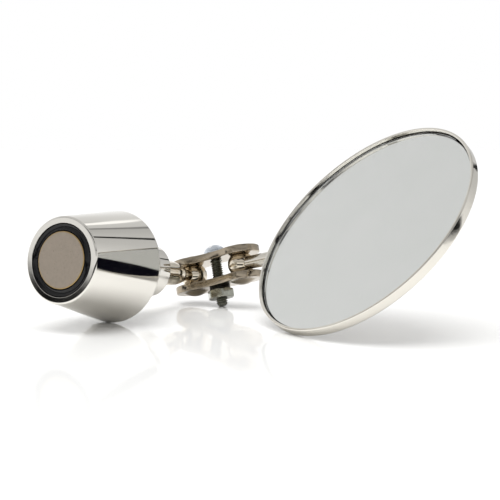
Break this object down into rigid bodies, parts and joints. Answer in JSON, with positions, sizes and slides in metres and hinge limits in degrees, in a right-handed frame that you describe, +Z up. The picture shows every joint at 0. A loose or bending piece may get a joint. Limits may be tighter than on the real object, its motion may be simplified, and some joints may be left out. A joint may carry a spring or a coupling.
{
  "type": "inspection mirror",
  "caption": "Round inspection mirror on a straight rod, joined by a screw-clamped link with a ball at each end to a conical pot magnet that holds it to steel.",
  "frame": {"origin": "on the floor, under the middle of the whole tool as it lies on its three contact points", "axes": "+Z up, +X along the tool from the magnet to the mirror, +Y away from the viewer"},
  "size_m": [0.1384, 0.101, 0.0635],
  "materials": {
    "magnet_nickel": "satin nickel plate, ground face",
    "potting_resin": "glossy cast epoxy",
    "soft_iron": "machined",
    "shell_chrome": "bright chrome plate",
    "stud_chrome": "bright nickel plate",
    "ball_chrome": "polished",
    "plate_nickel": "nickel plate over tumbled stampings",
    "screw_zinc": "clear zinc plate",
    "washer_steel": "spring steel, dark plate",
    "nut_steel": "nickel plate",
    "rod_nickel": "drawn, nickel plated",
    "pan_nickel": "bright nickel plate",
    "saddle_steel": "nickel plated stamping",
    "rivet_steel": "plated",
    "foam_pad": "closed-cell foam",
    "mirror_back_paint": "matt paint",
    "silver": "mirror",
    "glass": "clear float glass"
  },
  "bodies": {
    "magnet_base": {"magnet_disc": "magnet_nickel", "resin_ring": "potting_resin", "keeper_disc": "soft_iron", "pot_shell": "shell_chrome", "rear_cap": "shell_chrome"},
    "stud": {"ball_stud": "stud_chrome"},
    "stud_ball": {"stud_ball": "ball_chrome"},
    "link": {"upper_plate": "plate_nickel"},
    "clamp_screw": {"clamp_screw": "screw_zinc"},
    "clamp_jaw": {"lower_plate": "plate_nickel", "lock_washer": "washer_steel", "hex_nut": "nut_steel"},
    "rod_ball": {"rod_ball": "ball_chrome"},
    "rod": {"mirror_rod": "rod_nickel"},
    "mirror_head": {"mirror_pan": "pan_nickel", "rod_saddle": "saddle_steel", "saddle_rivets": "rivet_steel", "glue_pad": "foam_pad", "back_paint": "mirror_back_paint", "silver_layer": "silver", "mirror_glass": "glass"}
  },
  "joints": [
    {"name": "stud_spin", "type": "hinge", "parent": "magnet_base", "child": "stud", "pos_m": [-0.01966, 0.04193, 0.01003], "axis": [0.4961, 0.8524, -0.165], "continuous": true},
    {"name": "stud_tilt", "type": "hinge", "parent": "stud", "child": "stud_ball", "pos_m": [-0.01966, 0.04193, 0.01003], "axis": [0.8547, -0.4459, 0.2659], "range_deg": [-9, 9]},
    {"name": "link_swing", "type": "hinge", "parent": "stud_ball", "child": "link", "pos_m": [-0.01966, 0.04193, 0.01003], "axis": [-0.1509, 0.2767, 0.949], "range_deg": [-20, 165]},
    {"name": "screw_turn", "type": "hinge", "parent": "link", "child": "clamp_screw", "pos_m": [-0.0111, 0.03749, 0.01269], "axis": [-0.1509, 0.2767, 0.949], "range_deg": [0, 361]},
    {"name": "jaw_open", "type": "slide", "parent": "link", "child": "clamp_jaw", "axis": [0.1509, -0.2767, -0.949], "range_m": [0, 0.00079375]},
    {"name": "head_swing", "type": "hinge", "parent": "link", "child": "rod_ball", "pos_m": [-0.00254, 0.03305, 0.01535], "axis": [-0.1509, 0.2767, 0.949], "range_deg": [-25, 100]},
    {"name": "head_tilt", "type": "hinge", "parent": "rod_ball", "child": "rod", "pos_m": [-0.00254, 0.03305, 0.01535], "axis": [-0.7322, -0.6763, 0.0808], "range_deg": [-2.5, 11]},
    {"name": "head_spin", "type": "hinge", "parent": "rod", "child": "mirror_head", "pos_m": [0.0391, -0.01042, 0.02889], "axis": [0.6749, -0.7045, 0.2195], "continuous": true}
  ],
  "couplings": [
    {"joint": "screw_turn", "follows": "jaw_open", "rad_per_m": 7915.8}
  ]
}
